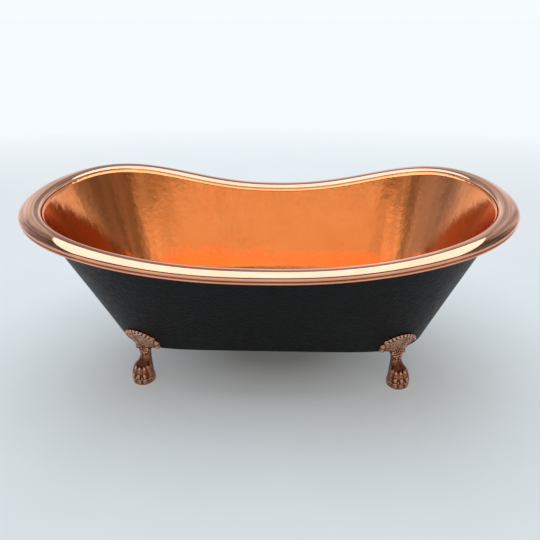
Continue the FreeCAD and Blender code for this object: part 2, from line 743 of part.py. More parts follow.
front_right_foot = make_foot()
front_right_plate = make_foot_plate()
for corner_name, corner_signs in FOOT_SIGNS.items():
    save("foot_" + corner_name, mirrored(front_right_foot, corner_signs))
    save("foot_plate_" + corner_name, mirrored(front_right_plate, corner_signs))
save("foot_bolts", make_foot_bolts())
save("foot_washers", make_foot_washers())
save("foot_nuts", make_foot_nuts())

save("waste_body", make_waste_body())
save("waste_top_gasket", tube(WASTE_FLANGE_RADIUS - 1.5, WASTE_HOLE_RADIUS, BASIN_FLOOR, FLANGE_BOTTOM))
save("waste_lower_gasket", tube(WASTE_FLANGE_RADIUS, WASTE_BODY_RADIUS, GASKET_BOTTOM, BASIN_UNDERSIDE))
save("waste_slip_washer", tube(WASTE_FLANGE_RADIUS, WASTE_BODY_RADIUS, SLIP_BOTTOM, GASKET_BOTTOM))
save("waste_backnut", hexagon(BACKNUT_FLATS, BACKNUT_BOTTOM, SLIP_BOTTOM).cut(
    cylinder(WASTE_BODY_RADIUS, BACKNUT_BOTTOM, SLIP_BOTTOM)))
save("waste_cartridge", make_cartridge())
save("plug_cap", make_plug_cap())
save("plug_seal", make_plug_seal())
save("plug_stem", make_plug_stem())
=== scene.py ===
# A double-ended clawfoot bath: polished copper inside, black leather-textured paint outside, a
# rolled copper rim and antiqued copper claw feet. Sizes are in metres, apart from the feet, which
# are worked out in millimetres. The origin is on the floor under the middle of the bath, +X runs
# along its length and +Z is up.

import json
import math

import bpy
import numpy as np
from mathutils import Matrix, Vector


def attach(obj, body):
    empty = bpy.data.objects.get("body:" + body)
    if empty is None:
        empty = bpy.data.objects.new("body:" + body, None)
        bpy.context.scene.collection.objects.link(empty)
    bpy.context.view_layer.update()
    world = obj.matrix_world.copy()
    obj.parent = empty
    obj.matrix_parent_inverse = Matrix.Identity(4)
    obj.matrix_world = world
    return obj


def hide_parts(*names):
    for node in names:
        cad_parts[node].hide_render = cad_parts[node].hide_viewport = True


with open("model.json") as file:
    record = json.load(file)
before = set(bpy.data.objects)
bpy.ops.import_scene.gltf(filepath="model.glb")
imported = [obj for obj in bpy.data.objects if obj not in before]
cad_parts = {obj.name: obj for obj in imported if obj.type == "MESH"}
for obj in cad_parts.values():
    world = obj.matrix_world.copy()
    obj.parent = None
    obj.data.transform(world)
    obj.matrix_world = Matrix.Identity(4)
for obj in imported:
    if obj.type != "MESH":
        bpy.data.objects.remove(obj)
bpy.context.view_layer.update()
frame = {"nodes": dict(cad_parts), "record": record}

# ---- sizes, as in the construction -----------------------------------------------------------
LENGTH = 1.680
WIDTH_AT_MIDDLE = 0.890
RIM_HEIGHT_END = 0.668
RIM_HEIGHT_MIDDLE = 0.562
RIM_FULLNESS = 3.8
SHOULDER_SPREAD = 0.18
RISE_POWER = 1.15
ROLL_WIDTH = 0.068
ROLL_HEIGHT = 0.030
BEAD_RADIUS = 0.004
BEAD_TURN = 42.0           # degrees below level, round the roll's section
SHEET = 0.0015
CASING_BOTTOM = 0.137
CASING_HALF_LENGTH = 0.574
CASING_HALF_WIDTH = 0.208
CASING_FULLNESS = 6.0
CASING_EDGE_RADIUS = 0.010
CASING_TOP_IN = 0.020
CASING_ACCESS_RADIUS = 0.055
BASIN_FLOOR = 0.190
BASIN_FLOOR_OUT = 0.009
BASIN_COVE_RADIUS = 0.120
BRAZE_GAP = 0.0003
WASTE_HOLE_RADIUS = 0.0225

AROUND = 384               # mesh points round the bath
FLOOR_RINGS = 16           # rings of points across a bowl's floor, round its cove and up its wall
COVE_RINGS = 15
WALL_RINGS = 32

# ---- camera, found from the rim's edges, the casing's outline and the feet --------------------
CAMERA_PLACE = (0.1360, -1.8641, 1.3044)
CAMERA_DOWN = 23.71        # degrees below level
CAMERA_LEFT = 1.46         # degrees to the left of straight at the long side
CAMERA_ROLL = 0.08
FOCAL_PIXELS = 559.0
CENTRE_PIXEL = (295.9, 238.5)
FRAME_PIXELS = 540.0


# ---- outlines --------------------------------------------------------------------------------
def fullness(cosine, power):
    """Widening that turns an ellipse into a fuller outline, smooth all the way round."""
    near_end = np.abs(cosine) > 1.0 - 1e-9
    safe = np.where(near_end, 0.5, cosine)
    ratio = (1.0 - np.abs(safe) ** power) / (1.0 - safe ** 2)
    return np.sqrt(np.where(near_end, power / 2.0, ratio))


def rise(share):
    """How far the rim has swept up: 0 halfway along the bath, 1 at either end."""
    return (1.0 - np.cos(np.pi * np.minimum(np.abs(share), 1.0) ** RISE_POWER)) / 2.0


def roll_line(angles):
    """The rolled rim's centre line."""
    cosine, sine = np.cos(angles), np.sin(angles)
    swept = rise(cosine)
    half_width = (WIDTH_AT_MIDDLE - ROLL_WIDTH) / 2.0 * (1.0 + SHOULDER_SPREAD * swept)
    height = RIM_HEIGHT_MIDDLE + (RIM_HEIGHT_END - RIM_HEIGHT_MIDDLE) * swept
    return np.stack([
        (LENGTH - ROLL_WIDTH) / 2.0 * cosine,
        half_width * sine * fullness(cosine, RIM_FULLNESS),
        height - ROLL_HEIGHT / 2.0,
    ], axis=-1)


def base_line(angles):
    """Where the casing's wall and bottom would meet if their edge were sharp."""
    cosine, sine = np.cos(angles), np.sin(angles)
    return np.stack([
        CASING_HALF_LENGTH * cosine,
        CASING_HALF_WIDTH * sine * fullness(cosine, CASING_FULLNESS),
        np.full_like(cosine, CASING_BOTTOM),
    ], axis=-1)


def outward(line, angles):
    """The level direction that points out from a line, square to it."""
    along = line(angles + 0.001) - line(angles - 0.001)
    normal = np.stack([along[:, 1], -along[:, 0], np.zeros(len(angles))], axis=-1)
    return normal / np.linalg.norm(normal, axis=1)[:, None]


def beside(line, angles, out, up=0.0):
    """Points set out from a line, square to it as seen from above, and up."""
    return line(angles) + outward(line, angles) * out + np.array([0.0, 0.0, up])


def oval_height(out):
    """Half height of the roll's oval section at a distance from its centre line."""
    return ROLL_HEIGHT / 2.0 * math.sqrt(1.0 - (out / (ROLL_WIDTH / 2.0)) ** 2)


def bead_place():
    """How far out and up from the roll's centre line the bead's centre sits."""
    half_width, half_height = ROLL_WIDTH / 2.0, ROLL_HEIGHT / 2.0
    cosine, sine = math.cos(math.radians(BEAD_TURN)), math.sin(math.radians(BEAD_TURN))
    away = np.array([cosine / half_width, -sine / half_height])
    away *= (BEAD_RADIUS + BRAZE_GAP) / np.linalg.norm(away)
    return half_width * cosine + away[0], -half_height * sine + away[1]


def casing_top(angles):
    """The casing's top edge, under the roll."""
    return beside(roll_line, angles, -CASING_TOP_IN, -oval_height(CASING_TOP_IN) - BRAZE_GAP)


def basin_corner(angles):
    """Where the basin's wall and floor would meet if the cove were sharp."""
    return beside(base_line, angles, BASIN_FLOOR_OUT, BASIN_FLOOR - CASING_BOTTOM)


def basin_top(angles):
    """The basin's top edge, drawn up against the roll's inner side to close the join to the eye."""
    return beside(roll_line, angles, -(ROLL_WIDTH / 2.0 + SHEET + BRAZE_GAP))


def cove_points(corner, top, angles, radius, share):
    """The arc that rounds the floor into the wall: share 0 at the floor, 1 at the wall."""
    wall = top(angles) - corner(angles)
    climb = np.arctan2(wall[:, 2], np.hypot(wall[:, 0], wall[:, 1]))[:, None]
    wall = wall / np.linalg.norm(wall, axis=1)[:, None]
    reach = radius * np.tan(climb / 2.0)
    floor_end = corner(angles) - outward(corner, angles) * reach
    wall_end = corner(angles) + wall * reach
    weight = np.cos(climb / 2.0)
    first, middle, last = (1 - share) ** 2, 2 * weight * share * (1 - share), share ** 2
    return (floor_end * first + corner(angles) * middle + wall_end * last) / (first + middle + last)


# ---- meshes ----------------------------------------------------------------------------------
def mesh_object(name, points, faces):
    """A smooth-shaded mesh in the scene."""
    mesh = bpy.data.meshes.new(name)
    mesh.from_pydata([tuple(point) for point in points], [], faces)
    mesh.validate()
    mesh.polygons.foreach_set("use_smooth", [True] * len(mesh.polygons))
    piece = bpy.data.objects.new(name, mesh)
    bpy.context.scene.collection.objects.link(piece)
    return piece


def ring_faces(ring_count, across, closed):
    """Quads between neighbouring rings of points, and back to the first ring if closed."""
    faces = []
    for ring in range(ring_count if closed else ring_count - 1):
        below, above = ring * across, (ring + 1) % ring_count * across
        for index in range(across):
            after = (index + 1) % across
            faces.append((below + index, below + after, above + after, above + index))
    return faces


ANGLES = np.linspace(0.0, 2.0 * np.pi, AROUND, endpoint=False)


def bowl(name, corner, top, radius, hole_radius, thickness):
    """A sheet bowl: flat floor round a hole, rounded edge and straight wall."""
    hole = np.stack([
        hole_radius * np.cos(ANGLES),
        hole_radius * np.sin(ANGLES),
        np.full(AROUND, corner(ANGLES)[0, 2]),
    ], axis=-1)
    floor_edge = cove_points(corner, top, ANGLES, radius, 0.0)
    wall_foot = cove_points(corner, top, ANGLES, radius, 1.0)
    wall_top = top(ANGLES)
    rings = [hole + (floor_edge - hole) * share for share in np.linspace(0.0, 1.0, FLOOR_RINGS)]
    cove_shares, wall_shares = (np.linspace(0.0, 1.0, count)[1:] for count in (COVE_RINGS, WALL_RINGS))
    rings += [cove_points(corner, top, ANGLES, radius, share) for share in cove_shares]
    rings += [wall_foot + (wall_top - wall_foot) * share for share in wall_shares]
    piece = mesh_object(name, np.concatenate(rings), ring_faces(len(rings), AROUND, False))
    sheet = piece.modifiers.new("sheet", "SOLIDIFY")
    sheet.thickness = abs(thickness)
    sheet.offset = math.copysign(1.0, thickness)
    return piece


def rim_tube(name, half_width, half_height, out=0.0, up=0.0, sides=40):
    """A closed oval tube that follows the rim."""
    turns = np.linspace(0.0, 2.0 * np.pi, sides, endpoint=False)
    rings = [
        beside(roll_line, ANGLES, out + half_width * math.cos(turn), up + half_height * math.sin(turn))
        for turn in turns
    ]
    return mesh_object(name, np.concatenate(rings), ring_faces(sides, AROUND, True))


# ---- claw feet -------------------------------------------------------------------------------
# One foot is worked out as a distance field on a grid, in millimetres outward, sideways and up from
# the point on the floor under its middle, and its surface is then turned into quads.
FOOT_X = 463.0
FOOT_Y = 194.0
FOOT_TURN = 20.0           # degrees that a foot faces round from the long side to the end
PAW_TURN = -8.0            # the paw faces a little less far round than the fan
FOOT_FIT = 0.3             # between the foot and the casing
CELL = 1.3                 # spacing of the grid
MILLIMETRES = 1000.0       # in a metre
LEG = np.array([           # height, centre outward, half size outward, half size sideways
    (-5.0, 2.0, 39.0, 38.0),
    (4.0, 2.0, 40.0, 39.5),
    (22.0, 2.0, 38.0, 39.0),
    (34.0, -1.0, 33.0, 36.0),
    (48.0, -7.0, 28.0, 31.0),
    (62.0, -14.0, 23.5, 26.0),
    (78.0, -19.0, 19.5, 21.5),
    (96.0, -22.0, 18.0, 19.5),
    (112.0, -21.0, 17.5, 22.5),
    (126.0, -20.0, 17.0, 28.0),
    (138.0, -18.0, 17.0, 33.0),
    (152.0, -14.0, 16.0, 30.0),
    (172.0, -8.0, 12.0, 18.0),
])
FAN_EDGE = [               # sideways and up, round the fan without its lobes
    (12.0, 108.0), (17.0, 122.0), (27.0, 138.0), (41.0, 154.0), (53.0, 169.0), (60.0, 184.0),
    (52.0, 199.0), (38.0, 211.0), (20.0, 219.0), (0.0, 222.0), (-20.0, 220.0), (-38.0, 212.0),
    (-54.0, 199.0), (-67.0, 182.0), (-74.0, 165.0), (-73.0, 147.0), (-64.0, 139.0), (-50.0, 136.0),
    (-36.0, 130.0), (-24.0, 120.0), (-14.0, 108.0), (0.0, 100.0),
]
BEAD_CENTRE = (-6.0, 146.0)
BEAD_CIRCLE = 74.0
BEAD_ANGLES = range(30, 141, 11)
CURLS = ((-58.0, 192.0, 10.0), (-67.0, 170.0, 9.0), (-65.0, 149.0, 8.5))     # sideways, up, radius
VEIN = ((100.0, -2.0), (130.0, 0.0), (150.0, 3.0), (175.0, 8.0), (200.0, 15.0), (226.0, 24.0))
ARC_CENTRE = (-21.0, 136.0)
ARC_SPACING = 6.6
BARB_SLOPE = 44.0
BARB_SPACING = 6.2
RELIEF_HEIGHT = 0.95       # of the fan's arcs and barbs
VEIN_RISE = 1.6
VEIN_WIDTH = 2.4
VEIN_TOP = 218.0
GROOVE_DEPTH = 1.4         # of the groove that runs inside the fan's edge
GROOVE_WIDTH = 2.2
GROOVE_IN = 9.0
COLLAR_RISE = 1.8          # of the slanting collar over the ankle
COLLAR_HEIGHT = 115.0
COLLAR_WIDTH = 2.4
COLLAR_SLANT = 0.25
COLLAR_HALF_LENGTH = 20.0
BASE_LINE_RISE = 1.1       # of the raised line over the chevrons
BASE_LINE_HEIGHT = 23.0
BASE_LINE_WIDTH = 1.6
BASE_LINE_DROP = 7.0       # how far the line and chevrons' top edge zigzag down
CHEVRON_RISE = 0.9
CHEVRON_TOP = 19.0
CHEVRON_SLOPE = 22.0
CHEVRON_SPACING = 6.4
CHEVRON_ANGLE = 31.0       # degrees round the paw from one chevron to the next
LEG_TOP = 168.0
FAN_THICKNESS = 7.0
FAN_CROWN = 3.5            # extra thickness in the middle of the fan
FAN_CROWN_REACH = 45.0
FAN_BEHIND = 9.0           # how far the fan goes in behind the casing's surface, at most
LOBE_RADIUS = 7.6
BEAD_LIFT = 6.5
BEAD_RADII = (5.2, 5.4, 6.0)
CURL_MARGIN = 1.5
CURL_LIFT = 6.0
CURL_DEPTH = 7.0
HOLLOW_SHIFT = 3.0
HOLLOW_LIFT = 13.5
HOLLOW_RADII = (2.6, 3.2, 3.2)
PAW_CENTRE = 1.0           # outward from the foot's middle
ROOT_HEIGHT = 84.0         # where the toes and muscles start from the ankle
TOE_ANGLES = (-31.0, 0.0, 31.0)
MUSCLE_ANGLES = (-72.0, 70.0)
WEB_ANGLES = (-15.5, 15.5)
TENDON_SHIFT = 3.0         # degrees
# Drops on the paw: reach, height, radii outward, sideways and upward, lean and blend.
MUSCLE_DROPS = (
    (25.0, 42.0, (14.0, 14.0, 30.0), 16.0, 10.0),
    (30.0, 14.0, (10.0, 14.0, 16.0), 0.0, 6.0),
)
TOE_DROPS = (
    (31.5, 42.0, (10.0, 10.0, 19.0), 22.0, 6.0),
    (37.0, 12.0, (7.0, 8.5, 13.0), -4.0, 5.0),
)
TENDON_DROPS = ((29.5, 64.0, (5.0, 4.4, 8.0), 34.0, 1.4),)
KNUCKLE_DROPS = ((40.5, 38.0, (6.0, 6.2, 10.5), 14.0, 1.4),)
WEB_DROPS = ((37.0, 27.0, (4.5, 3.8, 7.0), 8.0, 1.6),)
ANKLE_COLUMNS = ((-6.0, 108.0), (6.5, 104.0))      # sideways, and the height of the top leaf
LEAVES_IN_COLUMN = 3
LEAF_SPACING = 12.0
LEAF_RADII = (3.2, 3.8, 6.6)
LEAF_LEAN = 14.0
LUG = ((-98.0, -26.0, 123.8), (-2.0, 26.0, 136.8))
BOLT_INSETS = (54.0, 82.0)
BOLT_HOLE_RADIUS = 5.5
FOOT_SIGNS = {"front_right": (1, 1), "front_left": (-1, 1), "back_right": (1, -1), "back_left": (-1, -1)}
GRID_SPANS = ((-101, 58), (-90, 80), (-2.6, 236))  # outward, sideways and up
WEAR_REACH = 2             # cells to each side over which wear compares the surface


def hull_front(side, up):
    """How far outward the casing's wall is, on a grid of sideways and upward places."""
    turn = math.radians(FOOT_TURN)
    angles = np.radians(np.linspace(-150.0, -1.0, 900))
    low, high = base_line(angles) * MILLIMETRES, casing_top(angles) * MILLIMETRES
    front = np.empty((len(side), len(up)))
    for column, height in enumerate(up):
        share = (height - low[:, 2]) / (high[:, 2] - low[:, 2])
        wall = low + (high - low) * share[:, None]
        east, south = wall[:, 0] - FOOT_X, -wall[:, 1] - FOOT_Y
        sideways = east * math.cos(turn) - south * math.sin(turn)
        out = east * math.sin(turn) + south * math.cos(turn)
        front[:, column] = np.interp(side, sideways, out)
    return front


def hull_distance(place, front, side, up):
    """Distance outside the casing, whose lower edge is rounded."""
    slope = np.gradient(front, side, up)
    facing = 1.0 / np.sqrt(1.0 + slope[0] ** 2 + slope[1] ** 2)
    edge = CASING_EDGE_RADIUS * MILLIMETRES
    wall = (place[0] - front[None]) * facing[None] + edge
    under = CASING_BOTTOM * MILLIMETRES - place[2] + edge
    inside = np.minimum(np.maximum(wall, under), 0.0)
    return inside + np.hypot(np.maximum(wall, 0.0), np.maximum(under, 0.0)) - edge


def joined(first, second, blend):
    """Two shapes as one, with a rounded valley between them."""
    near = np.maximum(blend - np.abs(first - second), 0.0) / blend
    return np.minimum(first, second) - near ** 2 * blend / 4.0


def shared(first, second, blend):
    """Only what is in both shapes, with a rounded edge."""
    return -joined(-first, -second, blend)


def drop(place, centre, radii, yaw=0.0, lean=0.0):
    """A rounded drop: radii outward, sideways and upward, leaned back and turned about upright."""
    out, side, up = (place[axis] - centre[axis] for axis in range(3))
    cosine, sine = math.cos(math.radians(yaw)), math.sin(math.radians(yaw))
    out, side = out * cosine + side * sine, side * cosine - out * sine
    cosine, sine = math.cos(math.radians(lean)), math.sin(math.radians(lean))
    out, up = out * cosine + up * sine, up * cosine - out * sine
    size = np.sqrt((out / radii[0]) ** 2 + (side / radii[1]) ** 2 + (up / radii[2]) ** 2) + 1e-6
    steep = np.sqrt((out / radii[0] ** 2) ** 2 + (side / radii[1] ** 2) ** 2 + (up / radii[2] ** 2) ** 2)
    return size * (size - 1.0) / (steep + 1e-6)


def rod(place, start, end, start_radius, end_radius):
    """A tapered round bar between two points."""
    run = np.subtract(end, start)
    offset = [place[axis] - start[axis] for axis in range(3)]
    share = np.clip(sum(offset[axis] * run[axis] for axis in range(3)) / (run @ run), 0.0, 1.0)
    away = np.sqrt(sum((offset[axis] - run[axis] * share) ** 2 for axis in range(3)))
    return away - (start_radius + (end_radius - start_radius) * share)


def smooth_loop(points, steps):
    """A closed curve that passes through every point."""
    points = np.array(points)
    before, after, later = (np.roll(points, shift, axis=0) for shift in (1, -1, -2))
    pieces = []
    for share in np.linspace(0.0, 1.0, steps, endpoint=False):
        pieces.append(0.5 * (
            2.0 * points + (after - before) * share
            + (2.0 * before - 5.0 * points + 4.0 * after - later) * share ** 2
            + (3.0 * points - before - 3.0 * after + later) * share ** 3))
    return np.stack(pieces, axis=1).reshape(-1, 2)


def outline_distance(corners, side, up):
    """Distance to a closed outline on a grid of places, negative inside."""
    nearest = np.full(side.shape, 1e9)
    inside = np.zeros(side.shape, dtype=bool)
    for first, second in zip(corners, np.roll(corners, -1, axis=0)):
        run = second - first
        share = ((side - first[0]) * run[0] + (up - first[1]) * run[1]) / (run @ run)
        share = np.clip(share, 0.0, 1.0)
        away = np.hypot(side - first[0] - run[0] * share, up - first[1] - run[1] * share)
        nearest = np.minimum(nearest, away)
        crosses = (first[1] > up) != (second[1] > up)
        inside ^= crosses & (side < first[0] + run[0] * (up - first[1]) / (run[1] + 1e-9))
    return np.where(inside, -nearest, nearest)


def bead_places():
    """Sideways and upward places of the beads along the fan's top."""
    places = []
    for angle in BEAD_ANGLES:
        turn = math.radians(angle)
        side = BEAD_CENTRE[0] + 0.94 * BEAD_CIRCLE * math.cos(turn)
        places.append((side, BEAD_CENTRE[1] + BEAD_CIRCLE * math.sin(turn)))
    return places


def leg_table(up):
    """The leg's centre and half sizes at each height, smoothed between the listed sections."""
    heights = np.arange(LEG[0, 0], LEG[-1, 0] + 1.0)
    weights = np.hanning(15)
    weights /= weights.sum()
    for column in (1, 2, 3):
        values = np.interp(heights, LEG[:, 0], LEG[:, column])
        values = np.convolve(np.pad(values, 7, "edge"), weights, "valid")
        yield np.interp(up, heights, values)[None, None, :]


def paw_point(angle, reach, height):
    """A place on the paw at an angle round from straight ahead."""
    turn = math.radians(angle + PAW_TURN)
    return (PAW_CENTRE + reach * math.cos(turn), reach * math.sin(turn), height)


def add_drops(body, place, angle, yaw, drops):
    """Adds the listed drops to the paw, at an angle round it."""
    for reach, height, radii, lean, blend in drops:
        body = joined(body, drop(place, paw_point(angle, reach, height), radii, yaw, lean), blend)
    return body


def add_paw(body, place):
    """Three toes, a tendon and a knuckle on each, webs between them and a muscle at either side."""
    for angle in MUSCLE_ANGLES:
        root = (-14.0, 0.1 * angle, ROOT_HEIGHT)
        body = joined(body, rod(place, root, paw_point(angle, 20.0, 62.0), 8.0, 11.0), 12.0)
        body = add_drops(body, place, angle, angle + PAW_TURN, MUSCLE_DROPS)
    for angle in TOE_ANGLES:
        root = (-8.0, 0.22 * angle, ROOT_HEIGHT)
        body = joined(body, rod(place, root, paw_point(angle, 25.0, 58.0), 5.0, 8.0), 8.0)
        body = add_drops(body, place, angle, angle + PAW_TURN, TOE_DROPS)
    for angle in TOE_ANGLES:
        body = add_drops(body, place, angle - TENDON_SHIFT, angle + PAW_TURN, TENDON_DROPS)
        body = add_drops(body, place, angle, angle + PAW_TURN, KNUCKLE_DROPS)
    for angle in WEB_ANGLES:
        body = add_drops(body, place, angle, angle, WEB_DROPS)
    return body


def add_ankle(body, place):
    """Two columns of small leaves down the front of the ankle."""
    for side, top in ANKLE_COLUMNS:
        for step in range(LEAVES_IN_COLUMN):
            height = top - LEAF_SPACING * step
            front = np.interp(height, LEG[:, 0], LEG[:, 1] + LEG[:, 2])
            centre = (front - 1.2 - 0.02 * side ** 2, side - 0.6 * step * np.sign(side), height)
            body = joined(body, drop(place, centre, LEAF_RADII, 0.0, LEAF_LEAN), 1.2)
    return body


def faded(distance, run):
    """0 up to a line and 1 from a run beyond it."""
    return np.clip(distance / run, 0.0, 1.0)


def ridge(distance, width):
    """A rounded ridge along the line where the distance is 0."""
    return np.exp(-(distance / width) ** 2)


def fan_relief(side, up, edge):
    """Height of the fan's carving: a vein, nested arcs on one side of it and barbs on the other."""
    from_vein = side - np.interp(up, *zip(*VEIN))
    arcs = np.cos(2.0 * np.pi * np.hypot(side - ARC_CENTRE[0], up - ARC_CENTRE[1]) / ARC_SPACING)
    slope = math.radians(BARB_SLOPE)
    barbs = np.cos(2.0 * np.pi * (up * math.cos(slope) - side * math.sin(slope)) / BARB_SPACING)
    pattern = np.where(from_vein > 0.0, barbs, arcs)
    pattern = np.sign(pattern) * np.abs(pattern) ** 0.7
    clear_of_vein = faded(np.abs(from_vein) - 2.5, 2.0)
    clear_of_edge = faded(-edge - 8.0, 4.0)
    relief = RELIEF_HEIGHT * pattern * clear_of_vein * clear_of_edge
    relief += VEIN_RISE * ridge(from_vein, VEIN_WIDTH) * faded(VEIN_TOP - up, 12.0)
    relief -= GROOVE_DEPTH * ridge(edge + GROOVE_IN, GROOVE_WIDTH) * faded(up - 150.0, 20.0)
    collar = COLLAR_RISE * ridge(up - COLLAR_HEIGHT - COLLAR_SLANT * side, COLLAR_WIDTH)
    collar *= faded(COLLAR_HALF_LENGTH - np.abs(side), 4.0)
    return relief * faded(up - 116.0, 5.0) + collar


def base_relief(place):
    """Chevrons round the low base of the paw, under a raised line."""
    angle = np.degrees(np.arctan2(place[1], place[0] - PAW_CENTRE)) - PAW_TURN
    wave = np.abs((angle / CHEVRON_ANGLE + 0.5) % 1.0 - 0.5)
    line = ridge(place[2] - BASE_LINE_HEIGHT + BASE_LINE_DROP * wave, BASE_LINE_WIDTH)
    chevron = 0.5 + 0.5 * np.cos(2.0 * np.pi * (place[2] + CHEVRON_SLOPE * wave) / CHEVRON_SPACING)
    below = faded(CHEVRON_TOP - place[2] - BASE_LINE_DROP * wave, 2.0)
    return BASE_LINE_RISE * line + CHEVRON_RISE * chevron * below


def fan_outline(sides, ups):
    """Distance to the fan's outline, without and with the lobes round its beads and curls."""
    plain = outline_distance(smooth_loop(FAN_EDGE, 8), sides, ups)
    edge = plain
    for bead_side, bead_up in bead_places():
        edge = np.minimum(edge, np.hypot(sides - bead_side, ups - bead_up) - LOBE_RADIUS)
    for curl_side, curl_up, radius in CURLS:
        edge = joined(edge, np.hypot(sides - curl_side, ups - curl_up) - radius - CURL_MARGIN, 3.0)
    return plain, edge


def add_beads_and_curls(body, place, front, side, up):
    """Beads along the fan's top, and hollowed curls down one of its sides."""
    def surface_point(at_side, at_up, lift):
        row, column = np.abs(side - at_side).argmin(), np.abs(up - at_up).argmin()
        return (front[row, column] + lift, at_side, at_up)

    for bead_side, bead_up in bead_places():
        body = joined(body, drop(place, surface_point(bead_side, bead_up, BEAD_LIFT), BEAD_RADII), 1.2)
    for curl_side, curl_up, radius in CURLS:
        curl = drop(place, surface_point(curl_side, curl_up, CURL_LIFT), (CURL_DEPTH, radius, radius))
        middle = surface_point(curl_side + HOLLOW_SHIFT, curl_up - HOLLOW_SHIFT, HOLLOW_LIFT)
        body = joined(body, np.maximum(curl, -drop(place, middle, HOLLOW_RADII)), 1.6)
    return body


def add_lug(body, place):
    """The lug that reaches in under the casing, with its bolt holes."""
    low, high = LUG
    lug = np.maximum(low[0] - place[0], place[0] - high[0])
    for axis in (1, 2):
        lug = np.maximum(lug, np.maximum(low[axis] - place[axis], place[axis] - high[axis]))
    body = np.minimum(body, lug)
    for inset in BOLT_INSETS:
        body = np.maximum(body, BOLT_HOLE_RADIUS - np.hypot(place[0] + inset, place[1]))
    return body


def foot_field(out, side, up):
    """Signed distance of the front right foot at every point of a grid."""
    place = (out[:, None, None], side[None, :, None], up[None, None, :])
    front = hull_front(side, up)
    hull = hull_distance(place, front, side, up)
    centre, half_out, half_side = leg_table(up)
    leg = np.hypot((place[0] - centre) / half_out, place[1] / half_side) - 1.0
    leg = shared(leg * np.minimum(half_out, half_side), place[2] - LEG_TOP, 8.0)

    sides, ups = np.meshgrid(side, up, indexing="ij")
    plain_edge, edge = fan_outline(sides, ups)
    thickness = FAN_THICKNESS + FAN_CROWN * faded(-edge, FAN_CROWN_REACH)
    fan = shared(hull - thickness[None], edge[None], 3.5)
    fan = shared(fan, front[None] - FAN_BEHIND - place[0], 2.0)
    body = joined(leg, fan, 9.0)
    in_front = faded(place[0] - np.minimum(centre, front[None] + 1.0), 3.0)
    body = body - fan_relief(sides, ups, plain_edge)[None] * in_front

    body = add_beads_and_curls(body, place, front, side, up)
    body = add_ankle(add_paw(body, place) - base_relief(place), place)
    body = add_lug(body, place)
    return np.maximum(np.maximum(body, FOOT_FIT - hull), -place[2])


HALVES = (slice(0, -1), slice(1, None))


def edge_crossings(field):
    """For each axis: which grid edges the surface crosses, how far along, and which it enters."""
    crossings = []
    for axis in range(3):
        lower = tuple(HALVES[0] if other == axis else slice(None) for other in range(3))
        upper = tuple(HALVES[1] if other == axis else slice(None) for other in range(3))
        low, high = field[lower], field[upper]
        crosses = (low < 0.0) != (high < 0.0)
        share = np.where(crosses, low / np.where(crosses, low - high, 1.0), 0.0)
        crossings.append((crosses, share, high < 0.0))
    return crossings


def cell_points(crossings, shape, places):
    """A point in each grid cell that the surface crosses, and the points' numbers by cell."""
    total, count = np.zeros(shape + (3,)), np.zeros(shape)
    for axis, (crosses, share, _) in enumerate(crossings):
        second, third = (axis + 1) % 3, (axis + 2) % 3
        for step_second in (0, 1):
            for step_third in (0, 1):
                pick = [slice(None)] * 3
                pick[second], pick[third] = HALVES[step_second], HALVES[step_third]
                hit = crosses[tuple(pick)]
                count += hit
                total[..., axis] += share[tuple(pick)]
                total[..., second] += hit * step_second
                total[..., third] += hit * step_third
    used = count > 0
    number = np.full(shape, -1)
    number[used] = np.arange(used.sum())
    spots = np.argwhere(used) + total[used] / count[used][:, None]
    points = np.stack([places[axis][0] + CELL * spots[:, axis] for axis in range(3)], axis=-1)
    return points, number


def cell_quads(crossings, number):
    """A quad round each crossed edge, between the points of the four cells that share it."""
    quads = []
    for axis, (crosses, _, entering) in enumerate(crossings):
        second, third = (axis + 1) % 3, (axis + 2) % 3
        for reverse in (False, True):
            cell = np.argwhere(crosses & (entering == reverse))
            corners = []
            for step_second, step_third in ((0, 0), (-1, 0), (-1, -1), (0, -1)):
                moved = cell.copy()
                moved[:, second] += step_second
                moved[:, third] += step_third
                corners.append(number[tuple(moved.T)])
            quads.append(np.stack(corners[::-1] if reverse else corners, axis=-1))
    return np.concatenate(quads)


def field_surface(field, places):
    """Quads over a field's zero surface, with one point in each grid cell that it crosses."""
    crossings = edge_crossings(field)
    points, number = cell_points(crossings, tuple(size - 1 for size in field.shape), places)
    return points, cell_quads(crossings, number)


def blurred(field, reach):
    """A field smoothed by running means along each axis."""
    for axis in range(3):
        padding = [(reach + 1, reach) if other == axis else (0, 0) for other in range(3)]
        total = np.cumsum(np.pad(field, padding, "edge"), axis=axis)
        low = tuple(slice(0, -2 * reach - 1) if other == axis else slice(None) for other in range(3))
        high = tuple(slice(2 * reach + 1, None) if other == axis else slice(None) for other in range(3))
        field = (total[high] - total[low]) / (2 * reach + 1)
    return field


def value_at(field, places, points):
    """A field's value at each point, from the nearest corner of the grid."""
    index = [
        np.clip(np.rint((points[:, axis] - places[axis][0]) / CELL).astype(int), 0, field.shape[axis] - 1)
        for axis in range(3)
    ]
    return field[tuple(index)]


def quad_object(name, points, quads):
    """A smooth-shaded mesh straight from arrays, for pieces with many faces."""
    mesh = bpy.data.meshes.new(name)
    mesh.vertices.add(len(points))
    mesh.vertices.foreach_set("co", points.astype(np.float32).ravel())
    mesh.loops.add(quads.size)
    mesh.loops.foreach_set("vertex_index", quads.astype(np.int32).ravel())
    mesh.polygons.add(len(quads))
    mesh.polygons.foreach_set("loop_start", np.arange(0, quads.size, 4, dtype=np.int32))
    mesh.polygons.foreach_set("use_smooth", np.ones(len(quads), dtype=bool))
    mesh.update(calc_edges=True)
    piece = bpy.data.objects.new(name, mesh)
    bpy.context.scene.collection.objects.link(piece)
    return piece


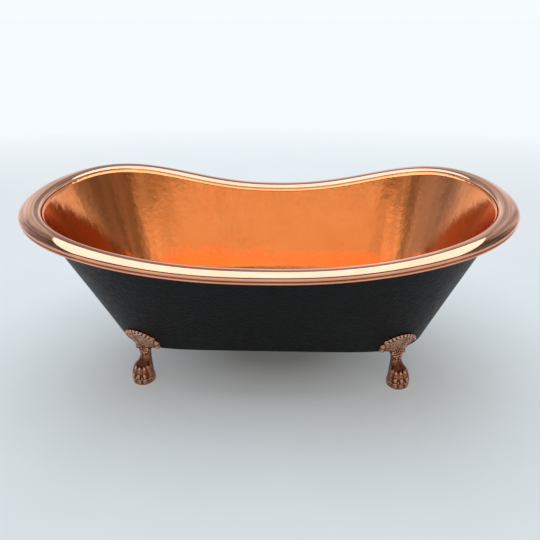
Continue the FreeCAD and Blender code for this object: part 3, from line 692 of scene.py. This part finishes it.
def make_feet():
    """The four feet, each a mirror image of the front right one."""
    out, side, up = (np.arange(low, high, CELL) for low, high in GRID_SPANS)
    field = foot_field(out, side, up)
    points, quads = field_surface(field, (out, side, up))
    height = value_at(blurred(field, WEAR_REACH) - field, (out, side, up), points)
    turn = math.radians(FOOT_TURN)
    placed = np.stack([
        FOOT_X + points[:, 0] * math.sin(turn) + points[:, 1] * math.cos(turn),
        -FOOT_Y - points[:, 0] * math.cos(turn) + points[:, 1] * math.sin(turn),
        points[:, 2],
    ], axis=-1) / MILLIMETRES
    feet = {}
    for corner, (across, along) in FOOT_SIGNS.items():
        faces = quads if across * along > 0 else quads[:, ::-1]
        foot = quad_object("claw_foot_" + corner, placed * (across, along, 1.0), faces)
        foot.data.attributes.new("raised", "FLOAT", "POINT").data.foreach_set("value", height)
        feet[corner] = foot
    return feet


# ---- materials -------------------------------------------------------------------------------
MIDDLE = (0.3, 0.7)        # between these lie most of a noise's values


def material(name):
    """A new node material with its shader and a texture coordinate node."""
    made = bpy.data.materials.new(name)
    made.use_nodes = True
    nodes, links = made.node_tree.nodes, made.node_tree.links
    shader = nodes["Principled BSDF"]
    place = nodes.new("ShaderNodeTexCoord").outputs["Object"]
    return made, nodes, links, shader, place


def noise(nodes, links, place, scale, detail=3.0, roughness=0.5, distortion=0.0):
    """A noise texture's value."""
    texture = nodes.new("ShaderNodeTexNoise")
    texture.inputs["Scale"].default_value = scale
    texture.inputs["Detail"].default_value = detail
    texture.inputs["Roughness"].default_value = roughness
    texture.inputs["Distortion"].default_value = distortion
    links.new(place, texture.inputs["Vector"])
    return texture.outputs["Fac"]


def spread(nodes, links, value, low, high, out_low, out_high):
    """Maps a value from one range to another, held at the ends."""
    ranged = nodes.new("ShaderNodeMapRange")
    for name, number in (("From Min", low), ("From Max", high), ("To Min", out_low), ("To Max", out_high)):
        ranged.inputs[name].default_value = number
    links.new(value, ranged.inputs["Value"])
    return ranged.outputs["Result"]


def ramp(nodes, links, value, stops):
    """A colour ramp with the given (position, colour) stops."""
    blend = nodes.new("ShaderNodeValToRGB")
    elements = blend.color_ramp.elements
    while len(elements) < len(stops):
        elements.new(0.5)
    for element, (position, colour) in zip(elements, stops):
        element.position = position
        element.color = (*colour, 1.0)
    links.new(value, blend.inputs["Fac"])
    return blend.outputs["Color"]


def bump(nodes, links, height, strength, distance, before=None):
    """A normal that follows a height, over an earlier normal if there is one."""
    raised = nodes.new("ShaderNodeBump")
    raised.inputs["Strength"].default_value = strength
    raised.inputs["Distance"].default_value = distance
    links.new(height, raised.inputs["Height"])
    if before is not None:
        links.new(before, raised.inputs["Normal"])
    return raised.outputs["Normal"]


def cells(nodes, links, place, scale, smoothness):
    """Soft rounded cells, like the marks of a planishing hammer."""
    texture = nodes.new("ShaderNodeTexVoronoi")
    texture.feature = "SMOOTH_F1"
    texture.inputs["Scale"].default_value = scale
    texture.inputs["Smoothness"].default_value = smoothness
    links.new(place, texture.inputs["Vector"])
    return texture.outputs["Distance"]


def stretched(nodes, links, place, scale):
    """Object coordinates scaled unevenly, to draw a texture out along an axis."""
    mapping = nodes.new("ShaderNodeMapping")
    mapping.inputs["Scale"].default_value = scale
    links.new(place, mapping.inputs["Vector"])
    return mapping.outputs["Vector"]


def calculated(nodes, links, operation, first, second):
    """The result of a sum on two values."""
    result = nodes.new("ShaderNodeMath")
    result.operation = operation
    links.new(first, result.inputs[0])
    links.new(second, result.inputs[1])
    return result.outputs[0]


def polished_copper(name, dark, light, rough_low, rough_high, planish):
    """Bright copper with faint hammer marks, drawn waves and a fine unevenness."""
    made, nodes, links, shader, place = material(name)
    shader.inputs["Metallic"].default_value = 1.0
    tone = noise(nodes, links, place, 6.0, 5.0, 0.6, 0.4)
    links.new(ramp(nodes, links, tone, [(0.30, dark), (0.70, light)]), shader.inputs["Base Color"])
    wear = noise(nodes, links, place, 30.0, 6.0, 0.6)
    links.new(spread(nodes, links, wear, *MIDDLE, rough_low, rough_high), shader.inputs["Roughness"])
    hammered = cells(nodes, links, place, 48.0, 0.9)
    drawn = noise(nodes, links, stretched(nodes, links, place, (20.0, 20.0, 1.6)), 1.0, 4.0, 0.55)
    fine = noise(nodes, links, place, 170.0, 2.0, 0.5)
    normal = bump(nodes, links, hammered, planish, 0.0025)
    normal = bump(nodes, links, drawn, planish, 0.012, normal)
    links.new(bump(nodes, links, fine, planish, 0.0016, normal), shader.inputs["Normal"])
    return made


def black_paint():
    """Black satin paint with a grain like leather."""
    made, nodes, links, shader, place = material("black_paint")
    tone = noise(nodes, links, place, 9.0, 4.0)
    colours = [(0.3, (0.0022, 0.0025, 0.0029)), (0.75, (0.0040, 0.0045, 0.0053))]
    shader.inputs["Specular IOR Level"].default_value = 0.14
    links.new(ramp(nodes, links, tone, colours), shader.inputs["Base Color"])
    patches = noise(nodes, links, place, 45.0, 4.0)
    links.new(spread(nodes, links, patches, *MIDDLE, 0.36, 0.48), shader.inputs["Roughness"])
    grain = noise(nodes, links, place, 85.0, 3.0, 0.6, 0.8)
    pebbles = cells(nodes, links, place, 210.0, 0.5)
    normal = bump(nodes, links, grain, 0.7, 0.005)
    links.new(bump(nodes, links, pebbles, 0.5, 0.0018, normal), shader.inputs["Normal"])
    return made


def antique_copper():
    """Brown copper, darkest in the carving's hollows and rubbed bright on what stands proud."""
    made, nodes, links, shader, place = material("antique_copper")
    shader.inputs["Metallic"].default_value = 1.0
    raised = nodes.new("ShaderNodeAttribute")
    raised.attribute_name = "raised"
    mottled = noise(nodes, links, place, 110.0, 5.0, 0.6)
    uneven = spread(nodes, links, mottled, *MIDDLE, -0.12, 0.12)
    total = calculated(nodes, links, "ADD", raised.outputs["Fac"], uneven)
    worn = spread(nodes, links, total, -0.42, 0.66, 0.0, 1.0)
    colours = [
        (0.0, (0.035, 0.013, 0.008)),
        (0.32, (0.21, 0.080, 0.047)),
        (0.6, (0.50, 0.215, 0.130)),
        (1.0, (0.95, 0.58, 0.42)),
    ]
    links.new(ramp(nodes, links, worn, colours), shader.inputs["Base Color"])
    links.new(spread(nodes, links, worn, 0.1, 0.9, 0.46, 0.20), shader.inputs["Roughness"])
    grain = noise(nodes, links, place, 420.0, 4.0, 0.6)
    links.new(bump(nodes, links, grain, 0.3, 0.0005), shader.inputs["Normal"])
    return made


def plain_metal(name, colour, rough_low, rough_high, metallic=1.0):
    """A turned, plated or painted metal with slight unevenness."""
    made, nodes, links, shader, place = material(name)
    shader.inputs["Metallic"].default_value = metallic
    tone = noise(nodes, links, place, 60.0, 4.0)
    darker = tuple(0.75 * part for part in colour)
    links.new(ramp(nodes, links, tone, [(0.3, darker), (0.7, colour)]), shader.inputs["Base Color"])
    links.new(spread(nodes, links, tone, *MIDDLE, rough_low, rough_high), shader.inputs["Roughness"])
    grain = noise(nodes, links, place, 700.0, 3.0)
    links.new(bump(nodes, links, grain, 0.2, 0.0003), shader.inputs["Normal"])
    return made


def rubber():
    """Matt black rubber."""
    made, nodes, links, shader, place = material("black_rubber")
    tone = noise(nodes, links, place, 120.0, 4.0)
    colours = [(0.3, (0.012, 0.012, 0.012)), (0.7, (0.025, 0.025, 0.025))]
    links.new(ramp(nodes, links, tone, colours), shader.inputs["Base Color"])
    links.new(spread(nodes, links, tone, *MIDDLE, 0.65, 0.85), shader.inputs["Roughness"])
    grain = noise(nodes, links, place, 900.0, 3.0)
    links.new(bump(nodes, links, grain, 0.3, 0.0004), shader.inputs["Normal"])
    return made


def dress(node, finish):
    """Gives a CAD node's object a finish in each of its material slots."""
    piece = frame["nodes"][node]
    if not piece.material_slots:
        piece.data.materials.append(finish)
    for slot in piece.material_slots:
        slot.material = finish


def own_piece(piece, finish, nodes):
    """A modelled piece that stands for one or more CAD nodes of the bath itself."""
    piece.data.materials.append(finish)
    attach(piece, "bath")
    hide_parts(*nodes)


# ---- the bath --------------------------------------------------------------------------------
inside_copper = polished_copper(
    "basin_copper", (0.91, 0.295, 0.100), (0.96, 0.345, 0.128), 0.10, 0.18, 0.12)
rim_copper = polished_copper("rim_copper", (0.74, 0.37, 0.24), (0.80, 0.43, 0.30), 0.035, 0.065, 0.010)
waste_copper = polished_copper("waste_copper", (0.80, 0.43, 0.28), (0.86, 0.50, 0.34), 0.10, 0.18, 0.01)
paint = black_paint()
foot_copper = antique_copper()
frame_steel = plain_metal("frame_steel", (0.05, 0.05, 0.055), 0.45, 0.6, 0.3)
zinc = plain_metal("zinc_steel", (0.62, 0.63, 0.64), 0.25, 0.4)
brass = plain_metal("waste_brass", (0.78, 0.60, 0.30), 0.25, 0.38)
plastic = plain_metal("white_plastic", (0.80, 0.80, 0.78), 0.4, 0.5, 0.0)
black_rubber = rubber()

SHEETS = ("floor", "side_front", "side_back", "end_left", "end_right")
basin = bowl("basin", basin_corner, basin_top, BASIN_COVE_RADIUS, WASTE_HOLE_RADIUS, -SHEET)
own_piece(basin, inside_copper, ["basin_" + sheet for sheet in SHEETS])
casing = bowl("casing", base_line, casing_top, CASING_EDGE_RADIUS, CASING_ACCESS_RADIUS, SHEET)
own_piece(casing, paint, ["casing_" + sheet for sheet in SHEETS])
roll = rim_tube("roll", ROLL_WIDTH / 2.0, ROLL_HEIGHT / 2.0)
own_piece(roll, rim_copper, ["rolled_rim"])
bead = rim_tube("bead", BEAD_RADIUS, BEAD_RADIUS, *bead_place(), sides=16)
own_piece(bead, rim_copper, ["rim_bead"])

for corner, foot in make_feet().items():
    own_piece(foot, foot_copper, ["foot_" + corner])

FINISHES = {
    "frame_steel": frame_steel,
    "zinc_steel": zinc,
    "waste_copper": waste_copper,
    "waste_brass": brass,
    "black_rubber": black_rubber,
    "white_plastic": plastic,
}
for part in frame["record"]["subparts"]:
    if part["material_slot"] in FINISHES:
        dress(part["node"], FINISHES[part["material_slot"]])


# ---- floor, light and camera -----------------------------------------------------------------
# The floor is seen as white from this far out, and partly so nearer to the middle of the bath: a painted
# glow that paints light on the floor round the bath and leaves a painted shade under its middle.
WHITE_FAR = 4.0
# shares of the painted glow by distance: almost none under the middle of the bath, which is a painted
# shade, rising to white far out
PAINTED_GLOW_STEPS = ((0.02, 0.01), (0.085, 0.27), (0.20, 0.42), (0.50, 0.58), (1.0, 1.0))
PAINTED_GLOW_SHARES = [(position, (share,) * 3) for position, share in PAINTED_GLOW_STEPS]
PAINTED_GLOW_STRETCH = (0.6, 1.0, 1.0)        # the painted shade in the middle is longer along the bath
FLOOR_HALF_SIZE = 30.0
FLOOR_SHADES = [(0.3, (0.74, 0.81, 0.85)), (0.7, (0.78, 0.85, 0.885))]
FLOOR_ROUGHNESS = 0.7
FLOOR_WHITE = (0.91, 0.96, 1.0, 1.0)

# The world's tones, each by a position from 0 to 1. From level to straight up:
UPWARD_TONES = [
    (0.0, (0.92, 0.96, 1.0)),
    (0.25, (0.86, 0.89, 0.92)),
    (0.50, (0.52, 0.53, 0.54)),
    (0.80, (0.19, 0.20, 0.21)),
]
# from the side that the photograph shows to the far side:
AHEAD_TONES = [
    (0.10, (1.0, 0.84, 0.62)),
    (0.35, (0.72, 0.70, 0.66)),
    (0.65, (0.72, 0.74, 0.76)),
    (0.85, (1.0, 1.0, 1.0)),
]
# from left to right:
FLANK_TONES = [
    (0.04, (0.60, 0.65, 0.84)),
    (0.14, (0.84, 0.86, 0.94)),
    (0.26, (1.0, 0.99, 0.97)),
    (0.74, (1.0, 0.99, 0.97)),
    (0.86, (0.84, 0.76, 0.69)),
    (0.96, (0.52, 0.46, 0.42)),
]
# and in uneven upright bands, so that the copper doesn't reflect a plain sky:
BAND_TONES = [
    (0.38, (0.52, 0.52, 0.53)),
    (0.50, (0.88, 0.88, 0.88)),
    (0.60, (1.3, 1.3, 1.3)),
]
BAND_STRETCH = (5.0, 5.0, 0.9)
SKYLINE = (0.93, 0.97, 1.0, 1.0)
SKYLINE_FADE = (0.03, 0.22)            # from white to the world's tones, going up
LAMPS = {                              # place, aim, width, height, power and colour
    "front": ((0.0, -4.4, 2.4), (0.0, 0.0, 0.4), 8.4, 2.2, 20.0, (1.0, 0.84, 0.62)),
    "overhead": ((-0.1, 0.8, 3.5), (-0.1, 0.8, 0.0), 3.8, 4.6, 118.0, (0.88, 0.95, 1.0)),
}


def seen_directly(nodes, links):
    """1 for what the camera sees, also by way of gloss or glass, and 0 for other light."""
    path = nodes.new("ShaderNodeLightPath")
    total = path.outputs["Is Camera Ray"]
    for ray in ("Is Glossy Ray", "Is Transmission Ray"):
        total = calculated(nodes, links, "MAXIMUM", total, path.outputs[ray])
    return total


def times(nodes, links, first, second):
    """Two colours multiplied."""
    both = nodes.new("ShaderNodeMix")
    both.data_type = "RGBA"
    both.blend_type = "MULTIPLY"
    both.inputs["Factor"].default_value = 1.0
    links.new(first, both.inputs["A"])
    links.new(second, both.inputs["B"])
    return both.outputs["Result"]


def stage_floor():
    """A pale floor that keeps the bath's shadow, with a painted glow that is weakest under the bath and
    fades to white away from it.
    """
    size = FLOOR_HALF_SIZE
    corners = [(-size, -size, 0.0), (size, -size, 0.0), (size, size, 0.0), (-size, size, 0.0)]
    floor = mesh_object("floor", corners, [(0, 1, 2, 3)])
    made, nodes, links, shader, place = material("floor_pale")
    tone = noise(nodes, links, place, 3.0, 3.0)
    links.new(ramp(nodes, links, tone, FLOOR_SHADES), shader.inputs["Base Color"])
    shader.inputs["Roughness"].default_value = FLOOR_ROUGHNESS
    length = nodes.new("ShaderNodeVectorMath")
    length.operation = "LENGTH"
    links.new(stretched(nodes, links, place, PAINTED_GLOW_STRETCH), length.inputs[0])
    distance = spread(nodes, links, length.outputs["Value"], 0.0, WHITE_FAR, 0.0, 1.0)
    # the painted glow's share: painted light on the floor round the bath, painted shade under it
    white = ramp(nodes, links, distance, PAINTED_GLOW_SHARES)
    share = calculated(nodes, links, "MULTIPLY", white, seen_directly(nodes, links))
    glow = nodes.new("ShaderNodeEmission")
    glow.inputs["Color"].default_value = FLOOR_WHITE
    blend = nodes.new("ShaderNodeMixShader")
    links.new(share, blend.inputs["Fac"])
    links.new(shader.outputs["BSDF"], blend.inputs[1])
    links.new(glow.outputs["Emission"], blend.inputs[2])
    links.new(blend.outputs["Shader"], nodes["Material Output"].inputs["Surface"])
    floor.data.materials.append(made)


def world_shade(nodes, links, direction, split):
    """The world's tones multiplied together, for the light that comes from each direction."""
    upward = ramp(nodes, links, split.outputs["Z"], UPWARD_TONES)
    far, right = (spread(nodes, links, split.outputs[axis], -1.0, 1.0, 0.0, 1.0) for axis in "YX")
    ahead = ramp(nodes, links, far, AHEAD_TONES)
    flanks = ramp(nodes, links, right, FLANK_TONES)
    uneven = noise(nodes, links, stretched(nodes, links, direction, BAND_STRETCH), 1.0, 2.0, 0.5, 0.3)
    bands = ramp(nodes, links, uneven, BAND_TONES)
    shade = times(nodes, links, times(nodes, links, upward, ahead), flanks)
    return times(nodes, links, shade, bands)


def backdrop_world():
    """Light that is warm in front, bluish on the left and dim overhead, over a white skyline."""
    world = bpy.data.worlds.new("studio")
    bpy.context.scene.world = world
    world.use_nodes = True
    nodes, links = world.node_tree.nodes, world.node_tree.links
    direction = nodes.new("ShaderNodeTexCoord").outputs["Generated"]
    split = nodes.new("ShaderNodeSeparateXYZ")
    links.new(direction, split.inputs["Vector"])
    skyline = nodes.new("ShaderNodeMix")
    skyline.data_type = "RGBA"
    fade = spread(nodes, links, split.outputs["Z"], *SKYLINE_FADE, 0.0, 1.0)
    links.new(fade, skyline.inputs["Factor"])
    skyline.inputs["A"].default_value = SKYLINE
    links.new(world_shade(nodes, links, direction, split), skyline.inputs["B"])
    links.new(skyline.outputs["Result"], nodes["Background"].inputs["Color"])


def area_light(name, place, aim, width, height, power, colour):
    """A rectangular lamp that faces a point."""
    data = bpy.data.lights.new(name, "AREA")
    data.shape = "RECTANGLE"
    data.size, data.size_y = width, height
    data.energy = power
    data.color = colour
    lamp = bpy.data.objects.new(name, data)
    lamp.location = place
    lamp.rotation_euler = (Vector(aim) - Vector(place)).to_track_quat("-Z", "Y").to_euler()
    bpy.context.scene.collection.objects.link(lamp)


def camera():
    """The camera at the photograph's viewing angle."""
    down, left, roll_turn = (math.radians(value) for value in (CAMERA_DOWN, CAMERA_LEFT, CAMERA_ROLL))
    ahead = Vector((-math.sin(left) * math.cos(down), math.cos(left) * math.cos(down), -math.sin(down)))
    level = Vector((math.cos(left), math.sin(left), 0.0))
    upright = level.cross(ahead)
    right = level * math.cos(roll_turn) + upright * math.sin(roll_turn)
    up = upright * math.cos(roll_turn) - level * math.sin(roll_turn)
    data = bpy.data.cameras.new("camera")
    data.sensor_width = 36.0
    data.lens = data.sensor_width * FOCAL_PIXELS / FRAME_PIXELS
    data.shift_x = (FRAME_PIXELS / 2.0 - CENTRE_PIXEL[0]) / FRAME_PIXELS
    data.shift_y = (CENTRE_PIXEL[1] - FRAME_PIXELS / 2.0) / FRAME_PIXELS
    viewer = bpy.data.objects.new("camera", data)
    turn = Matrix((right, up, -ahead)).transposed().to_4x4()
    viewer.matrix_world = Matrix.Translation(CAMERA_PLACE) @ turn
    bpy.context.scene.collection.objects.link(viewer)
    bpy.context.scene.camera = viewer


stage_floor()
backdrop_world()
for lamp_name, lamp_sizes in LAMPS.items():
    area_light(lamp_name, *lamp_sizes)
camera()
bpy.context.scene.view_settings.view_transform = "Standard"
